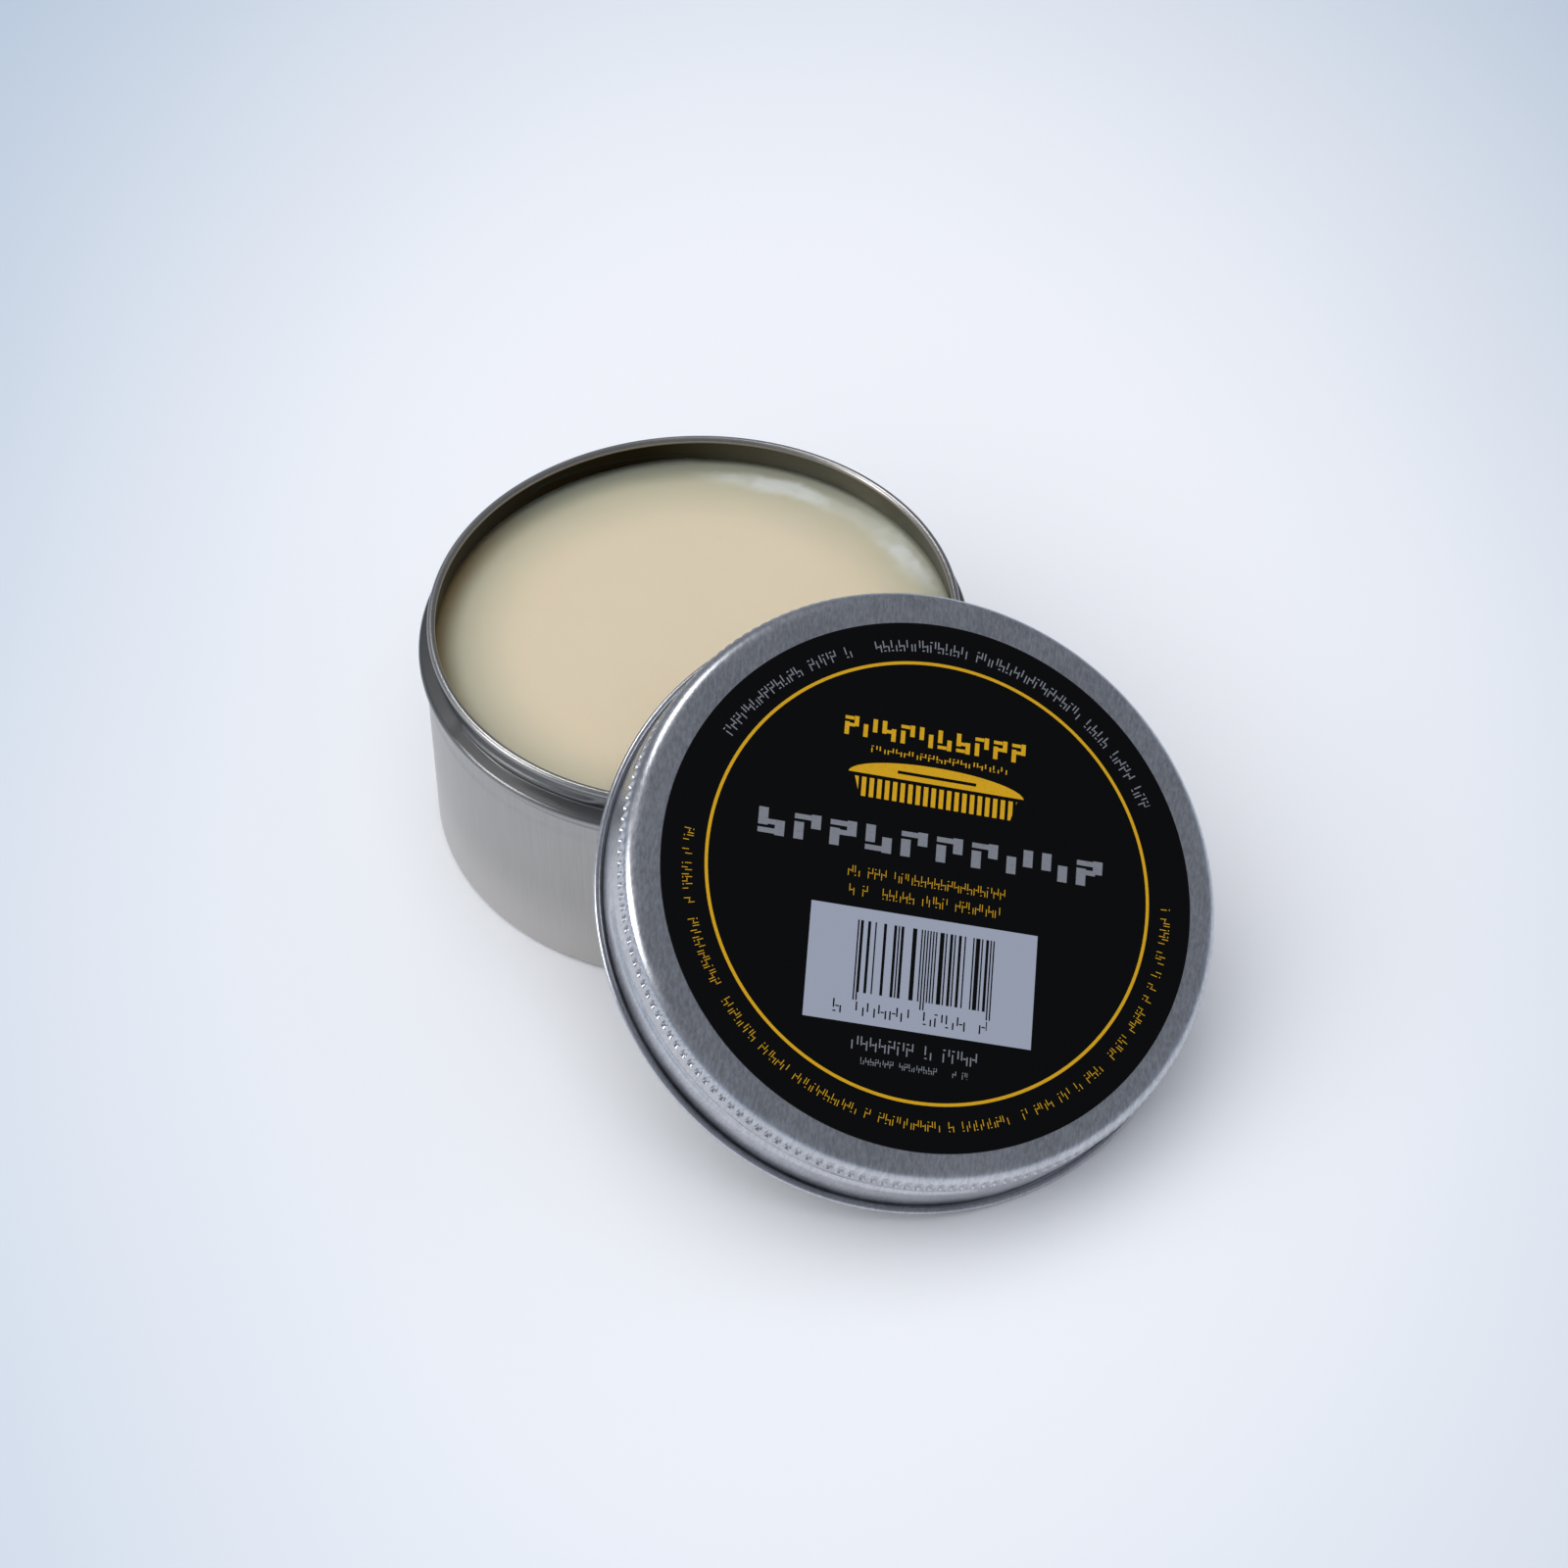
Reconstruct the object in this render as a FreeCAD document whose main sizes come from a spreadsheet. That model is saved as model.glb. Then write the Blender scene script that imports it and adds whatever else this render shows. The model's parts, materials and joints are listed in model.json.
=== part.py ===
import FreeCAD, Part
import math
import os
import Sketcher

# Shoe polish tin, open: a drawn tin full of wax, and its screw lid leaning on the tin.
# Millimetres, +Z up. The origin is the centre of the ring that the tin stands on.

SIZES = [
    # the drawn tin
    ("tin_height", 37.3, "floor to the top of the curled rim"),
    ("body_radius", 40.1, "outside of the plain wall"),
    ("sheet", 0.35, "thickness of the sheet metal, tin and lid"),
    ("corner_round", 1.1, "outer round between wall and base"),
    ("foot_width", 3.6, "from the wall's outside to the inner edge of the ring it stands on"),
    ("foot_radius", "=body_radius - foot_width", "inner edge of the flat ring it stands on"),
    ("base_rise", 0.8, "how far the base panel is pressed up"),
    ("base_slope", 1.4, "width of the slope round the base panel"),
    ("band_drop", 11.1, "top of the rim down to the top of the plain wall"),
    ("band_start", "=tin_height - band_drop", "floor to the top of the plain wall, where the band begins"),
    ("band_step", 0.15, "how far the band stands back from the wall"),
    ("bead_drop", 5.3, "top of the rim down to the middle of the shoulder bead"),
    ("bead_height", "=tin_height - bead_drop", "floor to the middle of the shoulder bead"),
    ("bead_proud", 0.85, "how far the shoulder bead stands out from the wall"),
    ("bead_radius", "=body_radius + bead_proud", "outside of the shoulder bead"),
    ("bead_width", 2.6, "height of the shoulder bead"),
    ("bead_round", 0.5, "rounds of the shoulder bead"),
    ("crease_depth", 0.3, "depth of the crease below the bead, from the band"),
    ("crease_width", 0.8, "height of the crease's lower side"),
    ("neck_inset", 1.35, "how far the neck stands in from the wall"),
    ("neck_radius", "=body_radius - neck_inset", "outside of the neck"),
    ("rim_tube", 0.6, "radius of the curled rim"),
    ("rim_proud", 0.65, "how far the curl stands out from the neck"),
    # the quick-turn thread
    ("thread_starts", 3, "ridges round the neck, grooves round the lid"),
    ("thread_pitch", 12.5, "rise of the thread in one full turn"),
    ("ridge_size", 0.5, "radius of the ridge pressed out of the neck"),
    ("ridge_rise", 1.5, "rise of one ridge from end to end"),
    ("ridge_bearing", 88, "direction of the first ridge's low end, seen from above"),
    ("groove_size", 0.7, "radius of the groove pressed into the lid"),
    ("groove_depth", 0.4, "depth of the groove pressed into the lid"),
    ("groove_start", 5.4, "opening of the lid to the groove's low end"),
    ("groove_rise", 3.4, "rise of one groove from end to end"),
    ("groove_bearing", 155, "direction of the first groove's low end, seen from the lid's top"),
    # the wax
    ("fill_drop", 5.8, "top of the rim down to the wax"),
    ("fill_gap", 0.05, "gap that the wax shrank away from the wall"),
    # the lid
    ("lid_play", 2.1, "gap between the skirt's inside and the shoulder bead, were the lid on"),
    ("lid_radius", "=bead_radius + lid_play + sheet", "outside of the lid's skirt"),
    ("lid_height", 13.9, "opening of the lid to its flat top"),
    ("shoulder_round", 2.5, "outer round between top and skirt"),
    ("curl_tube", 0.56, "radius of the curl round the opening"),
    ("curl_gap", 0.12, "open gap between skirt and curl"),
    ("label_margin", 4.8, "from the skirt's outside to the label's edge"),
    ("label_radius", "=lid_radius - label_margin", "radius of the label"),
    ("label_thickness", 0.15, "thickness of the label"),
    ("label_offset", 0.6, "how far down the slope the label was stuck off centre"),
    ("wad_thickness", 1.5, "thickness of the sealing wad"),
    ("wad_gap", 0.3, "gap between the wad and the lid's inner round"),
    ("wad_float", 0.08, "gap between the wad and the lid's top"),
    # how the lid leans on the tin
    ("lean_over", 5.737, "top of the rim up to the high side of the lid's opening"),
    ("lean_angle", "=asin((tin_height + lean_over) / (2 * lid_radius + curl_gap + curl_tube - sheet)) / 1deg",
     "tilt of the lid from lying flat"),
    ("lean_bearing", -57.4, "direction in which the lid lies from the tin"),
    ("lean_gap", 0.35, "gap left where the lid's skirt rests on the rim"),
]


def make_sheet(doc):
    sheet = doc.addObject("Spreadsheet::Sheet", "dims")
    for row, (alias, value, note) in enumerate(SIZES, start=1):
        sheet.set(f"A{row}", alias)
        sheet.set(f"B{row}", str(value))
        sheet.set(f"C{row}", note)
        sheet.setAlias(f"B{row}", alias)
    doc.recompute()
    return sheet


def size(sheet, alias):
    return float(sheet.get(alias))


def plane(body, role):
    for feature in body.Origin.OriginFeatures:
        if feature.Role == role:
            return feature
    raise RuntimeError(f"no {role} in {body.Label}")


def make_body(doc, name):
    body = doc.addObject("PartDesign::Body", name)
    body.Label = name
    return body


def make_sketch(body, name, role="XZ_Plane"):
    sketch = body.newObject("Sketcher::SketchObject", name)
    sketch.AttachmentSupport = (plane(body, role), [""])
    sketch.MapMode = "FlatFace"
    return sketch


def bind_point(sketch, geometry, end, across, up, name):
    """Holds one sketch point at two distances from the origin, each an expression."""
    for kind, text, letter in (("DistanceX", across, "x"), ("DistanceY", up, "y")):
        value = float(sketch.evalExpression(text))
        index = sketch.addConstraint(Sketcher.Constraint(kind, -1, 1, geometry, end, value))
        sketch.renameConstraint(index, f"{name}_{letter}")
        sketch.setExpression(f"Constraints.{name}_{letter}", text)


def draw_outline(sketch, points):
    """Closed outline of straight lines through points given as pairs of expressions."""
    spots = [FreeCAD.Vector(float(sketch.evalExpression(across)), float(sketch.evalExpression(up)), 0)
             for across, up in points]
    count = len(spots)
    for i, spot in enumerate(spots):
        sketch.addGeometry(Part.LineSegment(spot, spots[(i + 1) % count]), False)
    for i in range(count):
        sketch.addConstraint(Sketcher.Constraint("Coincident", i, 2, (i + 1) % count, 1))
    for i, (across, up) in enumerate(points):
        bind_point(sketch, i, 1, across, up, f"corner{i}")


def draw_circle(sketch, across, up, radius):
    """Circle whose centre and radius are expressions."""
    centre = FreeCAD.Vector(float(sketch.evalExpression(across)), float(sketch.evalExpression(up)), 0)
    start = float(sketch.evalExpression(radius))
    sketch.addGeometry(Part.Circle(centre, FreeCAD.Vector(0, 0, 1), start), False)
    bind_point(sketch, 0, 3, across, up, "centre")
    index = sketch.addConstraint(Sketcher.Constraint("Radius", 0, start))
    sketch.renameConstraint(index, "radius")
    sketch.setExpression("Constraints.radius", radius)


def revolve(body, sketch, name):
    feature = body.newObject("PartDesign::Revolution", name)
    feature.Profile = sketch
    feature.ReferenceAxis = (sketch, ["V_Axis"])
    feature.Angle = 360
    return feature


def groove(body, sketch, name):
    feature = body.newObject("PartDesign::Groove", name)
    feature.Profile = sketch
    feature.ReferenceAxis = (sketch, ["V_Axis"])
    feature.Angle = 360
    return feature


def wind(body, kind, sketch, name, rise):
    """Part of a right-hand helix about the body's axis, adding or cutting."""
    feature = body.newObject(f"PartDesign::{kind}Helix", name)
    feature.Profile = sketch
    feature.ReferenceAxis = (sketch, ["V_Axis"])
    feature.Mode = "pitch-height-angle"
    feature.setExpression("Pitch", "dims.thread_pitch")
    feature.setExpression("Height", rise)
    feature.Angle = 0
    return feature


def turned(angle):
    """A turn about the piece's own axis, which brings its thread round to where it starts."""
    return FreeCAD.Placement(FreeCAD.Vector(), FreeCAD.Rotation(FreeCAD.Vector(0, 0, 1), angle))


def repeat(body, features, name, count):
    """The same features again at equal angles all the way round."""
    pattern = body.newObject("PartDesign::PolarPattern", name)
    pattern.Originals = features
    pattern.Axis = (features[0].Profile[0], ["V_Axis"])
    pattern.Angle = 360
    pattern.setExpression("Occurrences", count)
    body.Tip = pattern
    return pattern


def ring_edges(shape, radius, height):
    """Names of the circular edges of a revolved shape at one radius and height."""
    close = 0.001
    names = []
    for number, edge in enumerate(shape.Edges, start=1):
        box = edge.BoundBox
        level = abs(box.ZMin - height) < close and abs(box.ZMax - height) < close
        if level and abs(max(box.XMax, -box.XMin, box.YMax, -box.YMin) - radius) < close:
            names.append(f"Edge{number}")
    if not names:
        raise RuntimeError(f"no edge at radius {radius}, height {height}")
    return names


def round_edges(doc, body, base, name, rings, radius):
    """Rounds the circular edges given as (radius, height) expressions."""
    doc.recompute()
    sheet = doc.getObject("dims")
    names = []
    for across, up in rings:
        names += ring_edges(base.Shape, value(sheet, across), value(sheet, up))
    feature = body.newObject("PartDesign::Fillet", name)
    feature.Base = (base, names)
    feature.setExpression("Radius", radius)
    return feature


def value(sheet, text):
    return float(sheet.evalExpression(text.replace("dims.", "")))


# Heights and radii of the tin that several outlines share, as expressions.

BAND = "dims.body_radius - dims.band_step"
BEAD_LOW = "dims.bead_height - dims.bead_width / 2"
BEAD_TOP = "dims.bead_height + dims.bead_width / 2"
BEAD_FACE_LOW = "dims.bead_height - dims.bead_width / 4"
BEAD_FACE_TOP = "dims.bead_height + dims.bead_width / 5"
CREASE_LOW = f"{BEAD_LOW} - dims.crease_width"
CREASE = f"{BAND} - dims.crease_depth"
RIM_MIDDLE = "dims.tin_height - dims.rim_tube"
RIM_CENTRE = "dims.neck_radius + dims.rim_proud - dims.rim_tube"
FILL_TOP = "dims.tin_height - dims.fill_drop"
CURL_MIDDLE = "dims.lid_radius + dims.curl_gap + dims.curl_tube"


def tin_outside():
    """Outer side of the tin's section, from the middle of the base to the neck's top."""
    return [
        ("0", "dims.base_rise"),
        ("dims.foot_radius - dims.base_slope", "dims.base_rise"),
        ("dims.foot_radius", "0"),
        ("dims.body_radius", "0"),
        ("dims.body_radius", "dims.band_start - dims.band_step"),
        (BAND, "dims.band_start"),
        (BAND, CREASE_LOW),
        (CREASE, BEAD_LOW),
        ("dims.bead_radius", BEAD_FACE_LOW),
        ("dims.bead_radius", BEAD_FACE_TOP),
        ("dims.neck_radius", BEAD_TOP),
        ("dims.neck_radius", RIM_MIDDLE),
    ]


def tin_inside(gap):
    """Inner side of the same sheet, set in by a gap as well, from the neck's top to the middle.

    Where the sheet slopes, its inner side also moves along, to keep the thickness even.
    """
    skin = f"- dims.sheet - {gap}"
    return [
        (f"dims.neck_radius {skin}", RIM_MIDDLE),
        (f"dims.neck_radius {skin}", f"{BEAD_TOP} - 0.7 * dims.sheet"),
        (f"dims.bead_radius {skin}", f"{BEAD_FACE_TOP} - 0.7 * dims.sheet"),
        (f"dims.bead_radius {skin}", f"{BEAD_FACE_LOW} + 0.5 * dims.sheet"),
        (f"{CREASE} {skin}", BEAD_LOW),
        (f"{BAND} {skin}", CREASE_LOW),
        (f"{BAND} {skin}", "dims.band_start"),
        (f"dims.body_radius {skin}", "dims.band_start - dims.band_step"),
        (f"dims.body_radius {skin}", f"dims.sheet + {gap}"),
        ("dims.foot_radius", f"dims.sheet + {gap}"),
        ("dims.foot_radius - dims.base_slope", f"dims.base_rise + dims.sheet + {gap}"),
        ("0", f"dims.base_rise + dims.sheet + {gap}"),
    ]


def make_tin_body(doc, sheet):
    """One drawn piece of sheet: base, wall, shoulder bead, neck and curled rim."""
    body = make_body(doc, "tin_body")
    body.Placement = turned(size(sheet, "ridge_bearing"))
    section = make_sketch(body, "tin_section")
    draw_outline(section, tin_outside() + tin_inside("0"))
    shell = revolve(body, section, "drawn_shell")
    corner = round_edges(doc, body, shell, "base_corner", [("dims.body_radius", "0")], "dims.corner_round")
    inner = round_edges(doc, body, corner, "inner_corner", [("dims.body_radius - dims.sheet", "dims.sheet")],
                        "dims.corner_round - dims.sheet")
    faces = [("dims.bead_radius", BEAD_FACE_LOW), ("dims.bead_radius", BEAD_FACE_TOP)]
    round_edges(doc, body, inner, "bead_rounds", faces, "dims.bead_round")

    ridge = make_sketch(body, "ridge_section")
    draw_circle(ridge, "dims.neck_radius", f"{BEAD_TOP} - dims.ridge_size / 2", "dims.ridge_size")
    winding = wind(body, "Additive", ridge, "neck_ridge", "dims.ridge_rise")
    repeat(body, [winding], "neck_ridges", "dims.thread_starts")

    curl = make_sketch(body, "rim_section")
    draw_circle(curl, RIM_CENTRE, RIM_MIDDLE, "dims.rim_tube")
    revolve(body, curl, "curled_rim")
    return body


def make_wax_fill(doc):
    """The wax: what the tin would hold when full, cut off level below the rim."""
    body = make_body(doc, "wax_fill")
    section = make_sketch(body, "cavity_section")
    draw_outline(section, tin_inside("dims.fill_gap") + [("0", RIM_MIDDLE)])
    cavity = revolve(body, section, "cavity")
    corner = [("dims.body_radius - dims.sheet - dims.fill_gap", "dims.sheet + dims.fill_gap")]
    round_edges(doc, body, cavity, "lower_corner", corner, "dims.corner_round")
    above = make_sketch(body, "above_wax")
    draw_outline(above, [("0", FILL_TOP), ("dims.bead_radius", FILL_TOP),
                         ("dims.bead_radius", "dims.tin_height"), ("0", "dims.tin_height")])
    groove(body, above, "level")
    return body


def make_lid_shell(doc):
    """The screw lid, opening down: flat top, rounded shoulder, skirt with thread, rolled curl."""
    body = make_body(doc, "lid_shell")
    section = make_sketch(body, "lid_section")
    draw_outline(section, [
        ("0", "dims.lid_height"),
        ("dims.lid_radius", "dims.lid_height"),
        ("dims.lid_radius", "dims.sheet"),
        (CURL_MIDDLE, "dims.sheet"),
        (CURL_MIDDLE, "0"),
        ("dims.lid_radius - dims.sheet", "0"),
        ("dims.lid_radius - dims.sheet", "dims.lid_height - dims.sheet"),
        ("0", "dims.lid_height - dims.sheet"),
    ])
    shell = revolve(body, section, "drawn_lid")
    top = round_edges(doc, body, shell, "shoulder", [("dims.lid_radius", "dims.lid_height")],
                      "dims.shoulder_round")
    inside = [("dims.lid_radius - dims.sheet", "dims.lid_height - dims.sheet")]
    round_edges(doc, body, top, "inner_shoulder", inside, "dims.shoulder_round - dims.sheet")

    middle = "dims.lid_radius - dims.groove_depth + dims.groove_size"
    swell = make_sketch(body, "swell_section")
    draw_circle(swell, middle, "dims.groove_start", "dims.groove_size + dims.sheet")
    inner = wind(body, "Additive", swell, "thread_swell", "dims.groove_rise")
    repeat(body, [inner], "thread_swells", "dims.thread_starts")
    trim = make_sketch(body, "outside_section")
    far = f"{middle} + dims.groove_size + 2 * dims.sheet"
    low = "dims.groove_start - dims.groove_size - 2 * dims.sheet"
    high = "dims.groove_start + dims.groove_rise + dims.groove_size + 2 * dims.sheet"
    draw_outline(trim, [("dims.lid_radius", low), (far, low), (far, high), ("dims.lid_radius", high)])
    groove(body, trim, "skirt_outside")
    channel = make_sketch(body, "channel_section")
    draw_circle(channel, middle, "dims.groove_start", "dims.groove_size")
    outer = wind(body, "Subtractive", channel, "thread_channel", "dims.groove_rise")
    repeat(body, [outer], "thread_channels", "dims.thread_starts")

    curl = make_sketch(body, "curl_section")
    draw_circle(curl, CURL_MIDDLE, "dims.curl_tube", "dims.curl_tube")
    revolve(body, curl, "rolled_curl")
    return body


def make_disc(doc, name, radius, thickness):
    disc = doc.addObject("Part::Cylinder", name)
    disc.Label = name
    disc.setExpression("Radius", radius)
    disc.setExpression("Height", thickness)
    return disc


def edge_distance(distance, height, tilt, skirt_inside, rim_radius, rim_level):
    """Least distance from the middle of the rim's curl to the inner edge of the lid's opening.

    The opening's middle is at the given distance from the tin's axis and height over the floor.
    """
    least = math.inf
    for step in range(1, 721):
        turn = math.radians(step / 6)
        across = rim_radius * math.cos(turn) - distance
        aside = rim_radius * math.sin(turn)
        above = rim_level - height
        up_slope = above * math.sin(tilt) - across * math.cos(tilt)
        inside = above * math.cos(tilt) + across * math.sin(tilt)
        least = min(least, math.hypot(math.hypot(up_slope, aside) - skirt_inside, inside))
    return least


def lean_placement(sheet):
    """Where the lid lies: its curl on the floor, the edge of its skirt against the tin's rim.

    The lid's own axes are x level, y up the slope and z out of its top. The lid is slid in
    towards the tin, first in steps and then by halving, until its edge has the named gap to
    the rim's curl.
    """
    tilt = math.radians(size(sheet, "lean_angle"))
    bearing = math.radians(size(sheet, "lean_bearing"))
    tube = size(sheet, "curl_tube")
    height = value(sheet, CURL_MIDDLE) * math.sin(tilt) + tube * (1 - math.cos(tilt))
    skirt_inside = value(sheet, "dims.lid_radius - dims.sheet")
    rim_radius = value(sheet, RIM_CENTRE)
    rim_level = value(sheet, RIM_MIDDLE)
    wanted = value(sheet, "dims.rim_tube + dims.lean_gap")

    def gap(distance):
        return edge_distance(distance, height, tilt, skirt_inside, rim_radius, rim_level) - wanted

    step = wanted / 2
    clear = (rim_level - height) / math.tan(tilt) + rim_radius + skirt_inside
    while gap(clear - step) > 0:
        clear -= step
    touching = clear - step
    for _ in range(40):
        distance = (touching + clear) / 2
        if gap(distance) < 0:
            touching = distance
        else:
            clear = distance

    away = FreeCAD.Vector(math.cos(bearing), math.sin(bearing), 0)
    level = FreeCAD.Vector(-math.sin(bearing), math.cos(bearing), 0)
    up = FreeCAD.Vector(0, 0, 1)
    out_of_top = away * math.sin(tilt) + up * math.cos(tilt)
    turn = FreeCAD.Rotation(level, out_of_top.cross(level), out_of_top, "ZXY")
    return FreeCAD.Placement(away * clear + up * height, turn)


def make_lid(doc, sheet):
    """The lid with its label and its loose wad, leaning as one."""
    lean = lean_placement(sheet)
    shell = make_lid_shell(doc)
    shell.Placement = lean * turned(size(sheet, "groove_bearing"))
    print(f"lid: middle of the opening at {lean.Base}")

    label = make_disc(doc, "lid_label", "dims.label_radius", "dims.label_thickness")
    seat = FreeCAD.Vector(0, -size(sheet, "label_offset"), size(sheet, "lid_height"))
    label.Placement = lean * FreeCAD.Placement(seat, FreeCAD.Rotation())

    wad_radius = "dims.lid_radius - dims.shoulder_round - dims.wad_gap"
    wad = make_disc(doc, "sealing_wad", wad_radius, "dims.wad_thickness")
    level = value(sheet, "dims.lid_height - dims.sheet - dims.wad_float - dims.wad_thickness")
    wad.Placement = lean * FreeCAD.Placement(FreeCAD.Vector(0, 0, level), FreeCAD.Rotation())
    return [shell, label, wad]


ADDING = {"PartDesign::Revolution": 1, "PartDesign::AdditiveHelix": 1,
          "PartDesign::Groove": -1, "PartDesign::SubtractiveHelix": -1}


def check_changes(body):
    """Every addition made the body larger, every cut made it smaller."""
    before = 0
    for feature in body.Group:
        if not feature.isDerivedFrom("PartDesign::Feature"):
            continue
        change = feature.Shape.Volume - before
        before = feature.Shape.Volume
        source = feature.Originals[0] if feature.isDerivedFrom("PartDesign::PolarPattern") else feature
        wanted = ADDING.get(source.TypeId, math.copysign(1, change))
        if change * wanted < 0.01:
            raise RuntimeError(f"{feature.Label} changed {body.Label} by {change:.3f} mm3")


def check(doc, pieces):
    """Every object has recomputed and done its work, and every piece is one sound solid."""
    for thing in doc.Objects:
        if {"Invalid", "Error"} & set(thing.State):
            raise RuntimeError(f"{thing.Label} failed: {thing.State}")
        if thing.isDerivedFrom("PartDesign::Body"):
            check_changes(thing)
    for piece in pieces:
        shape = piece.Shape
        if shape.isNull() or not shape.isValid() or len(shape.Solids) != 1:
            raise RuntimeError(f"{piece.Label} is not one sound solid")
        print(f"{piece.Label}: {shape.Volume / 1000:.3f} ml")


def main():
    doc = FreeCAD.newDocument("shoe_polish_tin")
    sheet = make_sheet(doc)
    pieces = [make_tin_body(doc, sheet), make_wax_fill(doc)] + make_lid(doc, sheet)
    doc.recompute()
    check(doc, pieces)
    os.makedirs("parts", exist_ok=True)
    for piece in pieces:
        piece.Shape.exportStep(f"parts/{piece.Label}.step")


main()
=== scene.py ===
import json
import math
import bpy
import numpy as np
from mathutils import Matrix, Vector


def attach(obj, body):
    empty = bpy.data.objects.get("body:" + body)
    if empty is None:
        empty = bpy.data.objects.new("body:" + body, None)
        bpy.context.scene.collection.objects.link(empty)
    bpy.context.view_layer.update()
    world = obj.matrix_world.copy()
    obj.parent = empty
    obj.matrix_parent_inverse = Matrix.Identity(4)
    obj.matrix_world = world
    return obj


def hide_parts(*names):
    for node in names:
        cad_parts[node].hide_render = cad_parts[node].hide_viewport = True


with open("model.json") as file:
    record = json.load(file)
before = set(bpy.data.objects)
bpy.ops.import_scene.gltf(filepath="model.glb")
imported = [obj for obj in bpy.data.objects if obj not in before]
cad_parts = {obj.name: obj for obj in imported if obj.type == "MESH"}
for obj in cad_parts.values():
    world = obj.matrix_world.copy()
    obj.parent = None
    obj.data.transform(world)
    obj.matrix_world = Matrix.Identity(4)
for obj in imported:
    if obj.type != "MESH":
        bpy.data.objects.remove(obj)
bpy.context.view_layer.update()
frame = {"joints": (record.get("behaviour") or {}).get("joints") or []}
mm = 0.001
print("frame loaded")

# how the lid leans: its own axes are x level, y up the slope, z out of its top
lidHinge = next(joint for joint in frame["joints"] if joint["name"] == "lid_turn")
lidUp = Vector(lidHinge["axis"]).normalized()
lidLevel = Vector((0, 0, 1)).cross(lidUp).normalized()
lidTurned = Matrix((lidLevel, lidUp.cross(lidLevel), lidUp)).transposed()
lidPlace = Matrix.Translation(lidHinge["pos_m"]) @ lidTurned.to_4x4()


# shapes turned on a lathe

# takes (radius, height) or (radius, height, round) in mm, and gives the corners their rounds
def rounded(points, fine=5):
    line = []
    for i, point in enumerate(points):
        if len(point) < 3 or i in (0, len(points) - 1):
            line.append(point[:2])
            continue
        here = Vector(point[:2])
        back = (Vector(points[i - 1][:2]) - here).normalized()
        ahead = (Vector(points[i + 1][:2]) - here).normalized()
        half = back.angle(ahead) / 2
        middle = here + (back + ahead).normalized() * point[2] / math.sin(half)
        start = (here + back * point[2] / math.tan(half) - middle).normalized()
        end = (here + ahead * point[2] / math.tan(half) - middle).normalized()
        for k in range(fine + 1):
            line.append(tuple(middle + start.slerp(end, k / fine).normalized() * point[2]))
    return line


def arc(middle, radius, start, end, fine):
    turns = np.radians(np.linspace(start, end, fine + 1))
    return [(middle[0] + radius * math.cos(t), middle[1] + radius * math.sin(t)) for t in turns]


def rows(start, end, count):  # points between two spots, both left out
    steps = np.linspace(0, 1, count + 2)[1:-1]
    return [(start[0] + (end[0] - start[0]) * s, start[1] + (end[1] - start[1]) * s) for s in steps]


# the line runs with the material on its left, so that the faces look outwards
def lathe(name, line, steps, outer=None):
    turns = np.linspace(0, 2 * math.pi, steps, endpoint=False)
    spots, faces, rings, outside = [], [], [], []
    for i, (radius, height) in enumerate(line):
        on = 1.0 if outer is None else outer[i]
        if radius < 1e-6:
            rings.append([len(spots)] * steps)
            spots.append((0, 0, height))
            outside.append(on)
            continue
        rings.append(list(range(len(spots), len(spots) + steps)))
        spots += [(radius * math.cos(t), radius * math.sin(t), height) for t in turns]
        outside += [on] * steps
    for low, high in zip(rings, rings[1:]):
        for j in range(steps):
            k = (j + 1) % steps
            loop = [low[j], low[k], high[k], high[j]]
            faces.append(list(dict.fromkeys(loop)))
    mesh = bpy.data.meshes.new(name)
    mesh.from_pydata([Vector(s) * mm for s in spots], [], faces)
    mesh.attributes.new("outside", "FLOAT", "POINT").data.foreach_set("value", outside)
    made = bpy.data.objects.new(name, mesh)
    bpy.context.scene.collection.objects.link(made)
    return made


def finishMesh(piece, place=None, crease=38):
    if place is not None:
        piece.data.transform(place)
    piece.data.shade_smooth()
    piece.data.set_sharp_from_angle(angle=math.radians(crease))
    piece.data.update()


# trees of nodes, for materials and for Geometry Nodes

class Link:  # one output socket, so that sums are written as plain expressions
    def __init__(self, web, socket):
        self.web, self.socket = web, socket

    def sum(self, operation, *parts):
        return self.web.node("ShaderNodeMath", {"operation": operation}, dict(enumerate(parts)))

    def __add__(self, other):
        return self.sum("ADD", self, other)

    def __sub__(self, other):
        return self.sum("SUBTRACT", self, other)

    def __rsub__(self, other):
        return self.sum("SUBTRACT", other, self)

    def __mul__(self, other):
        return self.sum("MULTIPLY", self, other)

    def __truediv__(self, other):
        return self.sum("DIVIDE", self, other)

    def __gt__(self, other):
        return self.sum("GREATER_THAN", self, other)

    def __lt__(self, other):
        return self.sum("LESS_THAN", self, other)

    def __or__(self, other):
        return self.sum("MAXIMUM", self, other)

    def near(self, middle, reach):
        return self.sum("COMPARE", self, middle, reach)

    def size(self):
        return self.sum("ABSOLUTE", self)

    def floor(self):
        return self.sum("FLOOR", self)

    def fraction(self):
        return self - self.floor()

    def power(self, grade):
        return self.sum("POWER", self, grade)

    __radd__, __rmul__, __ror__ = __add__, __mul__, __or__


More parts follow.
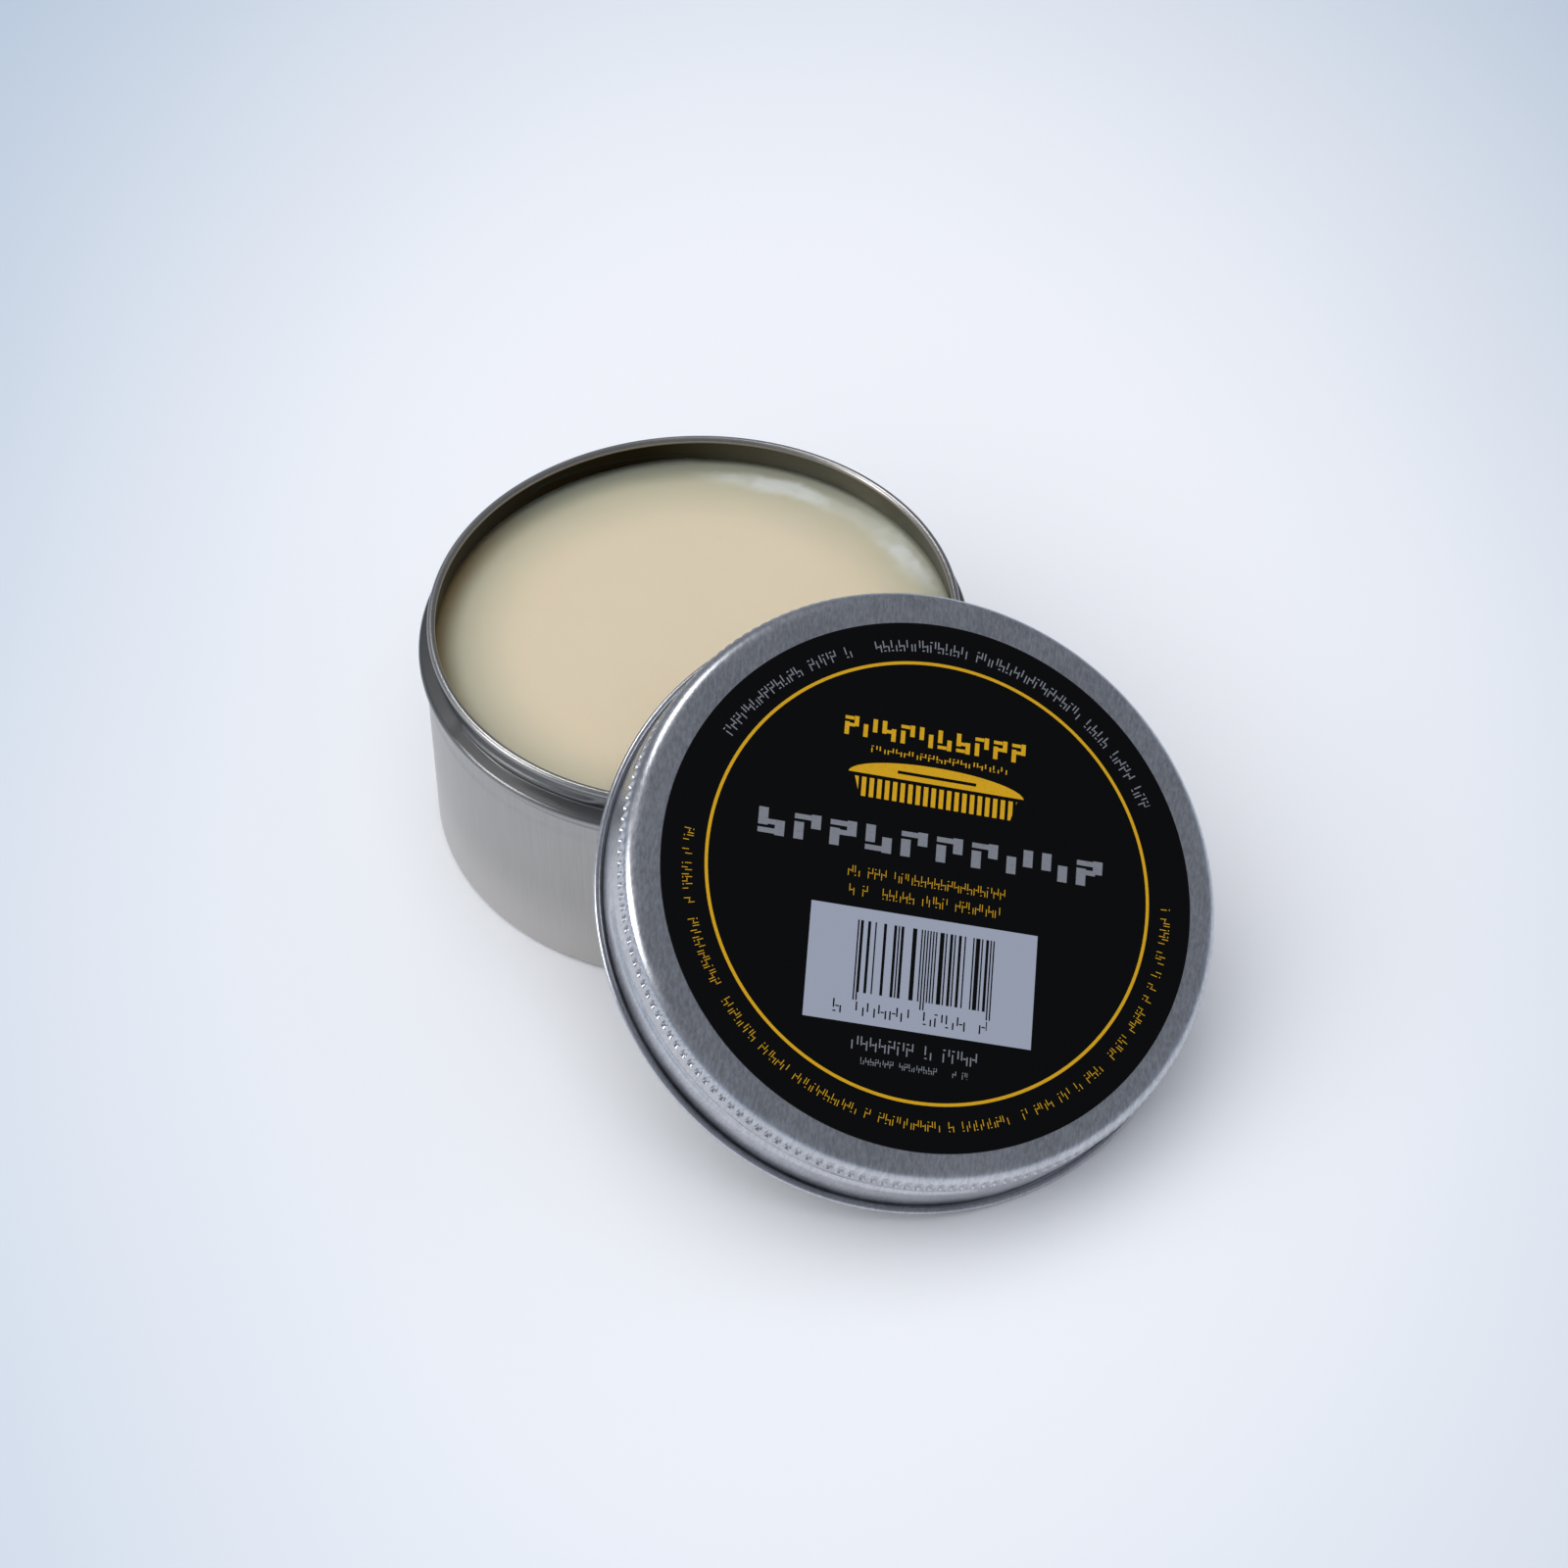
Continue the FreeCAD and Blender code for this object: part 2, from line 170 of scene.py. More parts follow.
class Web:  # a node tree; node() adds any node with its settings and the values or links of its sockets
    def __init__(self, tree):
        self.tree = tree

    def node(self, kind, settings=None, sockets=None, out=0):
        made = self.tree.nodes.new(kind)
        for name, setting in (settings or {}).items():
            setattr(made, name, setting)
        for name, part in (sockets or {}).items():
            if isinstance(part, Link):
                self.tree.links.new(part.socket, made.inputs[name])
            else:
                made.inputs[name].default_value = (*part, 1) if wantsFour(made.inputs[name], part) else part
        return Link(self, made.outputs[out]) if made.outputs else None

    def others(self, link, *outs):  # more outputs of the node that a link comes from
        return [Link(self, link.socket.node.outputs[out]) for out in outs]

    def mix(self, amount, first, second):
        return self.node("ShaderNodeMix", {"data_type": "RGBA"}, {0: amount, 6: first, 7: second}, 2)

    def smooth(self, link, low, high, first=0.0, last=1.0):
        return self.node("ShaderNodeMapRange", {"interpolation_type": "SMOOTHSTEP"},
                         {0: link, 1: low, 2: high, 3: first, 4: last})

    def vector(self, x, y, z=0.0):
        return self.node("ShaderNodeCombineXYZ", None, {0: x, 1: y, 2: z})

    def parts(self, link):
        return self.others(self.node("ShaderNodeSeparateXYZ", None, {0: link}), 0, 1, 2)

    def noise(self, place, scale, detail=2.0, roughness=0.5):
        return self.node("ShaderNodeTexNoise", None,
                         {"Vector": place, "Scale": scale, "Detail": detail, "Roughness": roughness})

    # Object coordinates, in a piece's own frame where a place is given, then stretched
    def mapped(self, place=None, scale=(1, 1, 1)):
        spot = self.node("ShaderNodeTexCoord", out=3)
        if place is not None:
            sockets = {"Vector": spot, "Location": place.to_translation(), "Rotation": place.to_euler()}
            spot = self.node("ShaderNodeMapping", {"vector_type": "TEXTURE"}, sockets)
        if scale == (1, 1, 1):
            return spot
        return self.node("ShaderNodeVectorMath", {"operation": "MULTIPLY"}, {0: spot, 1: scale})

    def bump(self, height, distance, strength=1.0):
        sockets = {"Height": height, "Distance": distance, "Strength": strength}
        return self.node("ShaderNodeBump", None, sockets)


def wantsFour(socket, part):
    return socket.type == "RGBA" and len(part) == 3


def newMaterial(name, build):  # build(web) gives the sockets of the one surface shader
    material = bpy.data.materials.new(name)
    material.use_nodes = True
    material.node_tree.nodes.clear()
    web = Web(material.node_tree)
    shader = web.node("ShaderNodeBsdfPrincipled", None, build(web))
    web.node("ShaderNodeOutputMaterial", None, {"Surface": shader})
    return material


def linear(*shade):  # a colour as a paint chart gives it, 0 to 255
    return tuple((s / 255 / 12.92) if s < 10.3 else ((s / 255 + 0.055) / 1.055) ** 2.4 for s in shade)


# brushed tinplate

insideRadius = 0.0384
# the tinplate's neck and low colours are painted reflections, and its two inside colours are painted shade
tinplate = {"light": (0.41, 0.4, 0.388), "dark": (0.365, 0.356, 0.345), "low": (0.58, 0.56, 0.54),
            "neck": (0.19, 0.188, 0.185), "inside": (0.018, 0.0135, 0.0065), "insideLitBack": (0.12, 0.115, 0.09),
            "lowTop": 0.016, "lowShare": 0.7, "neckLow": (0.0316, 0.0326), "neckTop": (0.0362, 0.037),
            "roughness": 0.34, "grain": (2600, 2600, 90), "blotch": 55, "press": 0.0000012}
lidMetal = {"light": (0.66, 0.67, 0.705), "dark": (0.42, 0.43, 0.46), "inside": (0.5, 0.5, 0.5),
            "roofLow": 0.0125, "roofTop": 0.0138, "skirtGrain": 0.4,
            "roughness": 0.31, "grain": (2400, 800, 420), "blotch": 70, "press": 0.000004}
fineGrain = 2.3


def brushed(look, place=None):
    def build(web):
        local = web.mapped(place)
        streaks = web.noise(web.mapped(place, look["grain"]), 1.0, 4.0, 0.62)
        if "roofLow" in look:  # the streaks are weaker on the skirt than on the flat top
            flat = web.smooth(web.parts(local)[2], look["roofLow"], look["roofTop"])
            streaks = 0.5 + (streaks - 0.5) * (flat * (1 - look["skirtGrain"]) + look["skirtGrain"])
        fine = web.noise(web.mapped(place, tuple(fineGrain * s for s in look["grain"])), 1.0, 2.0, 0.6)
        blotches = web.noise(local, look["blotch"], 3.0, 0.6)
        tone = web.smooth(streaks * 0.55 + fine * 0.25 + blotches * 0.2, 0.36, 0.64)
        worn = web.smooth(web.noise(local, 420, 5.0, 0.75), 0.62, 0.72)
        outside = web.node("ShaderNodeAttribute", {"attribute_name": "outside"}, out=2)
        metal, inside = web.mix(tone, look["dark"], look["light"]), look["inside"]
        if "neck" in look:  # painted reflections, a dark band round the neck and a brighter foot, and painted shade inside the wall, lighter toward the back right
            x, y, height = web.parts(local)
            inside = web.mix(web.smooth((x * 0.7 + y * 0.7) / insideRadius, 0.5, 1.05), inside, look["insideLitBack"])
            low = web.smooth(height, look["lowTop"], 0.0, 0.0, look["lowShare"])
            metal = web.mix(low, metal, look["low"])
            neck = web.smooth(height, *look["neckLow"]) * web.smooth(height, *look["neckTop"], 1.0, 0.0)
            metal = web.mix(neck, metal, look["neck"])
        return {
            "Base Color": web.mix(outside, inside, metal),
            "Metallic": 1.0,
            "Roughness": look["roughness"] + (blotches - 0.5) * 0.16 + (streaks - 0.5) * 0.14 + worn * 0.06,
            "Normal": web.bump(streaks + fine * 0.6, look["press"]),
        }
    return build


labelTurn = math.radians(-34.4)
artPlace = lidPlace @ Matrix.Rotation(labelTurn, 4, "Z")
tinMetal = newMaterial("tinplate_brushed", brushed(tinplate))
lidSheet = newMaterial("lid_brushed", brushed(lidMetal, artPlace))
print("metals made")


# Geometry Nodes: presses ticks and a thread into a drawn sheet

def pressTree():
    tree = bpy.data.node_groups.new("pressed sheet", "GeometryNodeTree")
    face = tree.interface
    face.new_socket("Geometry", in_out="INPUT", socket_type="NodeSocketGeometry")
    for name in ("ticks", "tick share", "tick depth", "tick top", "tick low", "tick ease", "starts",
                 "bearing", "span", "pitch", "thread low", "thread reach", "thread depth", "inner share"):
        face.new_socket(name, in_out="INPUT", socket_type="NodeSocketFloat")
    face.new_socket("metal", in_out="INPUT", socket_type="NodeSocketMaterial")
    face.new_socket("Geometry", in_out="OUTPUT", socket_type="NodeSocketGeometry")
    web = Web(tree)
    given = web.node("NodeGroupInput")
    ask = {item.name: Link(web, given.socket.node.outputs[item.name])
           for item in face.items_tree if item.in_out == "INPUT"}
    outside = web.node("GeometryNodeInputNamedAttribute", {"data_type": "FLOAT"}, {"Name": "outside"})
    x, y, z = web.parts(web.node("GeometryNodeInputPosition"))
    turn = web.node("ShaderNodeMath", {"operation": "ARCTAN2"}, {0: y, 1: x}) / (2 * math.pi) + 1

    aside = ((turn * ask["ticks"]).fraction() - 0.5).size()
    half, tickEdge = ask["tick share"] * 0.5, 0.06
    across = web.smooth(aside, half - tickEdge, half + tickEdge, 1.0, 0.0)
    along = web.smooth(z, ask["tick low"] - ask["tick ease"], ask["tick low"]) \
        * web.smooth(z, ask["tick top"] - 3 * ask["tick ease"], ask["tick top"], 1.0, 0.0)
    tick = across * along * ask["tick depth"]

    lead = ((turn - ask["bearing"] + 1) * ask["starts"]).fraction() / ask["starts"]
    offset = z - ask["thread low"] - lead * ask["pitch"]
    reach, runOut = ask["thread reach"], 0.012
    body = web.smooth(offset.size(), reach * 0.25, reach, 1.0, 0.0)
    ends = web.smooth(lead, 0.0, runOut) * web.smooth(lead, ask["span"] - runOut, ask["span"], 1.0, 0.0)
    thread = body * ends * ask["thread depth"]

    inward = (tick + thread) * (ask["inner share"] + (1 - ask["inner share"]) * outside) * -1
    radial = web.node("ShaderNodeVectorMath", {"operation": "NORMALIZE"}, {0: web.vector(x, y)})
    shift = web.node("ShaderNodeVectorMath", {"operation": "SCALE"}, {0: radial, "Scale": inward})
    moved = web.node("GeometryNodeSetPosition", None, {"Geometry": ask["Geometry"], "Offset": shift})
    whole = web.node("GeometryNodeRealizeInstances", None, {"Geometry": moved})
    dressed = web.node("GeometryNodeSetMaterial", None, {"Geometry": whole, "Material": ask["metal"]})
    web.node("NodeGroupOutput", None, {"Geometry": dressed})
    return tree


pressed = pressTree()


def press(piece, sizes, metal):  # runs the tree once and keeps its result as a plain mesh
    modifier = piece.modifiers.new("press", "NODES")
    modifier.node_group = pressed
    keys = {item.name: item.identifier for item in pressed.interface.items_tree if item.in_out == "INPUT"}
    for name, size in sizes.items():
        modifier[keys[name]] = size
    modifier[keys["metal"]] = metal
    bpy.context.view_layer.update()
    graph = bpy.context.evaluated_depsgraph_get()
    mesh = bpy.data.meshes.new_from_object(piece.evaluated_get(graph))
    piece.modifiers.remove(modifier)
    old = piece.data
    piece.data = mesh
    bpy.data.meshes.remove(old)
    mesh.name = piece.name


# the tin

tin = {"height": 37.3, "radius": 40.1, "sheet": 0.35, "corner": 1.1, "foot": 36.5, "rise": 0.8, "slope": 1.4,
       "band": 27.4, "step": 0.12, "beadMiddle": 32.0, "bead": 40.95, "beadWidth": 2.6, "beadRound": 0.8,
       "crease": 0.3, "creaseWidth": 0.8, "neck": 38.75, "tube": 0.6, "proud": 0.65, "steps": 480}


def tinLine():
    t = tin
    band, low = t["radius"] - t["step"], t["beadMiddle"] - t["beadWidth"] / 2
    top, crease = t["beadMiddle"] + t["beadWidth"] / 2, band - t["crease"]
    faceLow, faceTop = t["beadMiddle"] - t["beadWidth"] / 4, t["beadMiddle"] + t["beadWidth"] / 5
    rim = (t["neck"] + t["proud"] - t["tube"], t["height"] - t["tube"])
    s = t["sheet"]
    foot = t["foot"] - t["slope"]
    joined = rim[1] - math.sqrt(t["tube"] ** 2 - (t["neck"] - rim[0]) ** 2)
    inJoin = rim[1] - math.sqrt(t["tube"] ** 2 - (rim[0] - t["neck"] + s) ** 2)
    outer = rounded([
        (0, t["rise"]), (foot * 0.5, t["rise"]), (foot, t["rise"], 0.6), (t["foot"], 0, 0.5),
        (t["radius"], 0, t["corner"]), (t["radius"], t["band"] - 0.6, 1.0), (band, t["band"] + 0.4, 1.0),
        (band, low - t["creaseWidth"], 0.5), (crease, low, 0.12), (t["bead"], faceLow, t["beadRound"]),
        (t["bead"], faceTop, t["beadRound"]), (t["neck"], top, 0.25), (t["neck"], top + 0.35)])
    outer += rows((t["neck"], top + 0.3), (t["neck"], joined), 15) + [(t["neck"], joined)]
    startTurn = math.degrees(math.atan2(joined - rim[1], t["neck"] - rim[0]))
    endTurn = math.degrees(math.atan2(inJoin - rim[1], t["neck"] - s - rim[0])) + 360
    curl = arc(rim, t["tube"], startTurn + 4, endTurn - 4, 15)
    inner = [(t["neck"] - s, inJoin)]
    inner += rows((t["neck"] - s, inJoin), (t["neck"] - s, top - 0.7 * s), 8)
    inner += rounded([
        (t["neck"] - s, top - 0.5 * s), (t["neck"] - s, top - 0.7 * s, 0.1),
        (t["bead"] - s, faceTop - 0.7 * s, 0.2), (t["bead"] - s, faceLow + 0.5 * s, 0.2),
        (crease - s, low, 0.3), (band - s, low - t["creaseWidth"], 0.3), (band - s, t["band"], 0.1),
        (t["radius"] - s, t["band"] - t["step"], 0.1), (t["radius"] - s, s, t["corner"] - s),
        (t["foot"], s, 0.5), (foot, t["rise"] + s, 0.6), (foot * 0.5, t["rise"] + s), (0, t["rise"] + s)])
    return outer + curl + inner, [1.0] * (len(outer) + len(curl)) + [0.0] * len(inner), top


line, outer, neckLow = tinLine()
tinBody = lathe("tin_wall", line, tin["steps"], outer)
neckRidges = {"ticks": 1.0, "tick share": 0.5, "tick depth": 0.0, "tick top": 1.0, "tick low": 0.9,
              "tick ease": 0.01, "starts": 3.0, "bearing": 88 / 360, "span": 0.12, "pitch": 12.5 * mm,
              "thread low": (neckLow - 0.25) * mm, "thread reach": 0.85 * mm, "thread depth": -0.36 * mm,
              "inner share": 0.7}
press(tinBody, neckRidges, tinMetal)
finishMesh(tinBody)
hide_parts("tin_body")
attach(tinBody, "tin")
print("tin made")

# the wax

# painted shade: the edge colour and the two colours beside it darken the wax toward the tin's wall
wax = {"top": 31.5, "gap": 0.06, "steps": 360, "creep": 0.45, "creepLeast": 0.10, "creepWidth": 1.7,
       "creepBearing": 48, "wave": 0.12, "middle": ((0.75, 0.625, 0.425), (0.79, 0.675, 0.485)),
       "edge": (0.53, 0.505, 0.355), "wallShadeLeft": (0.24, 0.17, 0.075), "wallShadeRight": (0.36, 0.36, 0.27),
       # a painted highlight colour
       "paintedGlint": (0.80, 0.81, 0.76), "speck": (0.5, 0.45, 0.33)}


def waxBuild(web):
    spot = web.mapped()
    x, y, z = web.parts(spot)
    away = (x * x + y * y).power(0.5) / insideRadius
    side = (x * 0.6 + y * 0.8) / insideRadius  # grows toward the back right
    clouds = web.noise(spot, 28, 3.0, 0.5)
    specks = web.smooth(web.noise(spot, 900, 2.0, 0.6), 0.7, 0.78)
    # painted shade: the wax grows darker toward the wall
    tone = web.mix(web.smooth(away + (clouds - 0.5) * 0.12, 0.62, 1.0),
                   web.mix(clouds, *wax["middle"]), wax["edge"])
    # painted shadow close to the wall, darkest on the left
    dark = web.mix(web.smooth(side, -0.3, 0.4), wax["wallShadeLeft"], wax["wallShadeRight"])
    tone = web.mix(web.smooth(away + (clouds - 0.5) * 0.05, 0.89, 1.01), tone, dark)
    # painted highlight: a pale band near the back right edge, where the wax creeps up the wall, glossier
    # there too
    wavy = away + (web.noise(spot, 120, 4.0, 0.6) - 0.5) * 0.10 + (clouds - 0.5) * 0.08
    band = web.smooth(wavy, 0.87, 0.92) * web.smooth(wavy, 0.95, 0.985, 1.0, 0.0)
    patches = web.smooth(web.noise(spot, 70, 3.0, 0.6), 0.4, 0.55, 0.25, 0.7)
    paintedGlint = web.smooth(side, 0.72, 0.86) * band * patches
    tone = web.mix(paintedGlint, tone, wax["paintedGlint"])
    return {
        "Base Color": web.mix(specks * 0.15, tone, wax["speck"]),
        "Roughness": 0.36 + (web.noise(spot, 140, 3.0) - 0.5) * 0.16,
        "Subsurface Weight": 0.25,
        "Subsurface Radius": (0.006, 0.004, 0.002),
        "Subsurface Scale": 1.0,
        "Coat Weight": web.smooth(clouds, 0.3, 0.7, 0.1, 0.3) + paintedGlint * 0.6,
        "Coat Roughness": 0.22,
        "IOR": 1.44,
        "Normal": web.bump(web.noise(spot, 60, 3.0, 0.55) + web.noise(spot, 700, 2.0) * 0.03, 0.0006, 0.5),
    }


def waxLine():  # follows the inside of the tin, a hair away from it
    away = tin["sheet"] + wax["gap"]
    bandIn = tin["radius"] - tin["step"] - away
    low = tin["beadMiddle"] - tin["beadWidth"] / 2
    foot = tin["foot"] - tin["slope"]
    reach = tin["bead"] - away - 0.1
    line = rounded([
        (0, tin["rise"] + away), (foot, tin["rise"] + away, 0.5), (tin["foot"], away, 0.5),
        (tin["radius"] - away, away, 0.8), (tin["radius"] - away, tin["band"] - tin["step"]),
        (bandIn, tin["band"]), (bandIn, low - tin["creaseWidth"]),
        (bandIn - tin["crease"], low, 0.2), (reach, wax["top"] - 0.05)])
    line += [(reach - t * 6, wax["top"]) for t in np.linspace(0, 1, 26)]
    return line + [(r, wax["top"]) for r in np.linspace(reach - 7, 0, 16)], tin["neck"] - away


waxSheet = newMaterial("leather_wax", waxBuild)
line, waxEdge = waxLine()
waxFill = lathe("wax", line, wax["steps"])
heights = np.empty(len(waxFill.data.vertices) * 3)
waxFill.data.vertices.foreach_get("co", heights)
spots = heights.reshape(-1, 3)
away = np.hypot(spots[:, 0], spots[:, 1]) / mm
bearing = np.degrees(np.arctan2(spots[:, 1], spots[:, 0]))
onTop = spots[:, 2] > (wax["top"] - 0.02) * mm
# it set with one side crept up the wall
climb = 0.5 + 0.5 * np.cos(np.radians(bearing - wax["creepBearing"]))
rise = wax["creepLeast"] + wax["creep"] * climb ** 3
rise = rise * np.exp(-np.maximum(0, waxEdge - away) / wax["creepWidth"])
swell = wax["wave"] * np.sin(away / 9 + 0.7) * np.cos(np.radians(bearing * 2 + 25)) * (away / 40)
spots[onTop, 2] += ((rise + swell)[onTop]) * mm
waxFill.data.vertices.foreach_set("co", spots.ravel())
waxFill.data.materials.append(waxSheet)
finishMesh(waxFill)
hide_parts("wax_fill")
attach(waxFill, "tin")
print("wax made")

# the lid

lid = {"radius": 43.4, "height": 13.9, "sheet": 0.35, "shoulder": 2.5, "tube": 0.48, "gap": 0.28,
       "ticks": 171, "tickTop": 1.4, "tickLow": 3.7, "tickDepth": 0.34, "samples": 6,
       "threadLow": 4.3, "threadDrop": 4.8}


def lidLine():
    r, h, s, tube = lid["radius"], lid["height"], lid["sheet"], lid["tube"]
    low, drop = lid["threadLow"], lid["threadDrop"]
    curl = (r + lid["gap"] + tube, tube)
    roof = h - s
    inner = [(0, roof), (20, roof)]
    inner += arc((r - lid["shoulder"], h - lid["shoulder"]), lid["shoulder"] - s, 90, 0, 5)
    inner += rows((r - s, h - lid["shoulder"]), (r - s, h - drop), 4)
    inner += rows((r - s, h - drop), (r - s, low), 10) + [(r - s, 2.0)]
    inner += rounded([(r - s, 2.0), (r - s, 0.0, 0.04), (curl[0], 0)], 3)[1:-1]
    outer = arc(curl, tube, -90, 230, 12)
    outer += [(r + 0.04, 0.1), (r, 0.2), (r, 2.2), (r, low)]
    outer += rows((r, low), (r, h - drop), 14)
    outer += rows((r, h - drop), (r, h - lid["shoulder"]), 9)
    outer += arc((r - lid["shoulder"], h - lid["shoulder"]), lid["shoulder"], 0, 90, 10)
    outer += [(r - lid["shoulder"] - 1, h), (r - lid["shoulder"] - 2.4, h), (20, h), (0, h)]
    return inner + outer, [0.0] * len(inner) + [1.0] * len(outer)


line, outer = lidLine()
lidShell = lathe("lid_sheet", line, lid["ticks"] * lid["samples"], outer)
lidThread = {"ticks": float(lid["ticks"]), "tick share": 0.44, "tick depth": lid["tickDepth"] * mm,
             "tick top": (lid["height"] - lid["tickTop"]) * mm,
             "tick low": (lid["height"] - lid["tickLow"]) * mm, "tick ease": 0.18 * mm,
             "starts": 3.0, "bearing": 155 / 360, "span": 98 / 360, "pitch": 12.5 * mm,
             "thread low": 5.4 * mm, "thread reach": 1.05 * mm, "thread depth": 0.42 * mm, "inner share": 0.8}
press(lidShell, lidThread, lidSheet)
finishMesh(lidShell, lidPlace)
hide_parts("lid_shell")
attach(lidShell, "lid")
print("lid made", len(lidShell.data.polygons))

# the printed label

label = {"radius": 38.6, "thickness": 0.15, "offset": 0.6, "steps": 300}
# places on the label are shares of its radius, x to the right and y up
ring = {"radius": 0.833, "halfWidth": 0.006, "raised": 0.01}
brush = {"halfWidth": 0.335, "rise": 0.07, "middle": 0.372, "cut": 0.376, "grip": (0.402, 0.006),
         "gripHalf": 0.15, "bristles": 34, "gap": 0.42, "bristleMiddle": 0.325, "bristleHalf": 0.037}
panelPlace = {"x": (-0.0065, 0.4265), "y": (-0.35, 0.215)}
barcode = {"left": -0.255, "width": 0.515, "modules": 95, "seed": 31.0, "tall": (-0.33, 0.15),
           "short": (-0.315, 0.135), "guards": ((1, 1.1), (47, 2.1), (93, 1.1))}
digitRow = (-0.33, 0.25, -0.535, -0.485, 0.042, 0.14, 0.05, 37, "black")
ink = {"black": linear(6, 6, 7), "gold": linear(214, 163, 26), "silver": linear(128, 130, 136),
       "panel": linear(160, 165, 178)}
lines = [  # greeked lettering: from, to, low, high, one mark's width, stroke, share of gaps, seed, ink
    (-0.37, 0.34, 0.515, 0.59, 0.071, 0.24, 0.0, 3, "gold"),
    (-0.29, 0.27, 0.462, 0.488, 0.031, 0.15, 0.08, 5, "gold"),
    (-0.67, 0.67, 0.085, 0.185, 0.134, 0.27, 0.0, 7, "silver"),
    (-0.31, 0.29, -0.02, 0.02, 0.025, 0.11, 0.12, 11, "gold"),
    (-0.30, 0.275, -0.092, -0.05, 0.025, 0.11, 0.12, 13, "gold"),
    (-0.25, 0.23, -0.66, -0.61, 0.034, 0.14, 0.1, 17, "silver"),
    (-0.21, 0.19, -0.712, -0.686, 0.018, 0.16, 0.14, 19, "silver"),
]
arcs = [  # the same round the edge, from and to in degrees: the first clockwise from the left, the other not
    (27, 152, 0.888, 0.932, 1.9, 0.15, 0.15, 23, "silver"),
    (176, 363.5, 0.885, 0.922, 1.65, 0.11, 0.2, 29, "gold"),
]


def marks(web, along, across, row):  # strokes that stand for lettering and spell nothing
    start, end, low, high, step, stroke, gaps, seed, colour = row
    place = (along - start) / step
    cell = place.floor()
    x, y = place.fraction(), (across - low) / (high - low)
    draw = web.node("ShaderNodeTexWhiteNoise", {"noise_dimensions": "2D"},
                    {"Vector": web.vector(cell, float(seed))}, 1)
    first, second, third = web.parts(draw)
    flip = first > 0.5
    y = y + flip * (1 - 2 * y)
    stem = x.near(0.12 + stroke / 2, stroke / 2) * (y < 0.66)
    tall = x.near(0.86 - stroke / 2, stroke / 2) * (y > 0.30 + 0.2 * second)
    dash = x.near(0.5, 0.16) * y.near(0.52, stroke * 0.36) * (third > 0.45)
    bar = x.near(0.12 + stroke, stroke) * y.near(0.96 - stroke * 0.36, stroke * 0.36) * (second > 0.4)
    inside = along.near((start + end) / 2, (end - start) / 2)
    inside = inside * across.near((low + high) / 2, (high - low) / 2)
    return (stem | tall | dash | bar) * inside * ((third * 7.3).fraction() > gaps)


def labelBuild(web):
    art = web.node("ShaderNodeUVMap", {"uv_map": "art"})
    u, v, none = web.parts(art)
    x, y = u * 2 - 1, v * 2 - 1
    lifted = y - ring["raised"]
    away = (x * x + lifted * lifted).power(0.5)
    reach = (x * x + y * y).power(0.5)
    turn = web.node("ShaderNodeMath", {"operation": "ARCTAN2"}, {0: y, 1: x}) * (180 / math.pi)
    turn = turn + 360 * (turn < 10)
    layers = {"gold": away.near(ring["radius"], ring["halfWidth"]), "silver": None}
    for row in lines:
        made = marks(web, x, y, row)
        layers[row[-1]] = made if layers[row[-1]] is None else layers[row[-1]] | made
    layers["silver"] = layers["silver"] | marks(web, 180 - (turn - 360 * (turn > 365)), reach, arcs[0])
    layers["gold"] = layers["gold"] | marks(web, turn, reach, arcs[1])
    # a brush for shoes: a bowed back with a grip, and its bristles
    wide, high = x / brush["halfWidth"], (y - brush["middle"]) / brush["rise"]
    back = ((wide * wide + high * high) < 1) * (y > brush["cut"])
    grip = x.near(0, brush["gripHalf"]) * y.near(*brush["grip"])
    bristles = (x.size() < 0.285 + (y - 0.28) * 0.3) * ((x * brush["bristles"]).fraction() > brush["gap"])
    bristles = bristles * y.near(brush["bristleMiddle"], brush["bristleHalf"])
    layers["gold"] = layers["gold"] | (back * (1 - grip)) | bristles
    panel = x.near(*panelPlace["x"]) * y.near(*panelPlace["y"])
    cell = ((x - barcode["left"]) / (barcode["width"] / barcode["modules"])).floor()
    draw = web.node("ShaderNodeTexWhiteNoise", {"noise_dimensions": "2D"},
                    {"Vector": web.vector(cell, barcode["seed"])})
    first, second, third = [cell.near(*guard) for guard in barcode["guards"]]
    guard = first | second | third
    tall = y.near(*barcode["tall"]) * guard * (cell.sum("MODULO", cell, 2) < 0.5)
    short = y.near(*barcode["short"]) * (draw > 0.5) * (1 - guard)
    half = barcode["width"] / 2
    bars = (tall | short) * x.near(barcode["left"] + half, half)
    digits = marks(web, x, y, digitRow)
    grain = web.noise(web.mapped(artPlace), 2600, 2.0, 0.7)
    colour = web.mix(panel, ink["black"], ink["panel"])
    colour = web.mix(bars | digits, colour, ink["black"])
    colour = web.mix(layers["silver"] * web.smooth(grain, 0.2, 0.5, 0.75, 1.0), colour, ink["silver"])
    colour = web.mix(layers["gold"] * web.smooth(grain, 0.2, 0.5, 0.8, 1.0), colour, ink["gold"])
    printed = panel | layers["gold"] | layers["silver"]
    scuffs = web.smooth(web.noise(web.mapped(artPlace, (1400, 160, 160)), 1.0, 3.0), 0.6, 0.8)
    return {
        "Base Color": colour,
        "Roughness": 0.40 + printed * 0.08 + scuffs * 0.08 + (grain - 0.5) * 0.06,
        "Specular IOR Level": 0.12,
        "Normal": web.bump(grain * 0.5 + printed * 0.8, 0.000008, 0.6),
    }


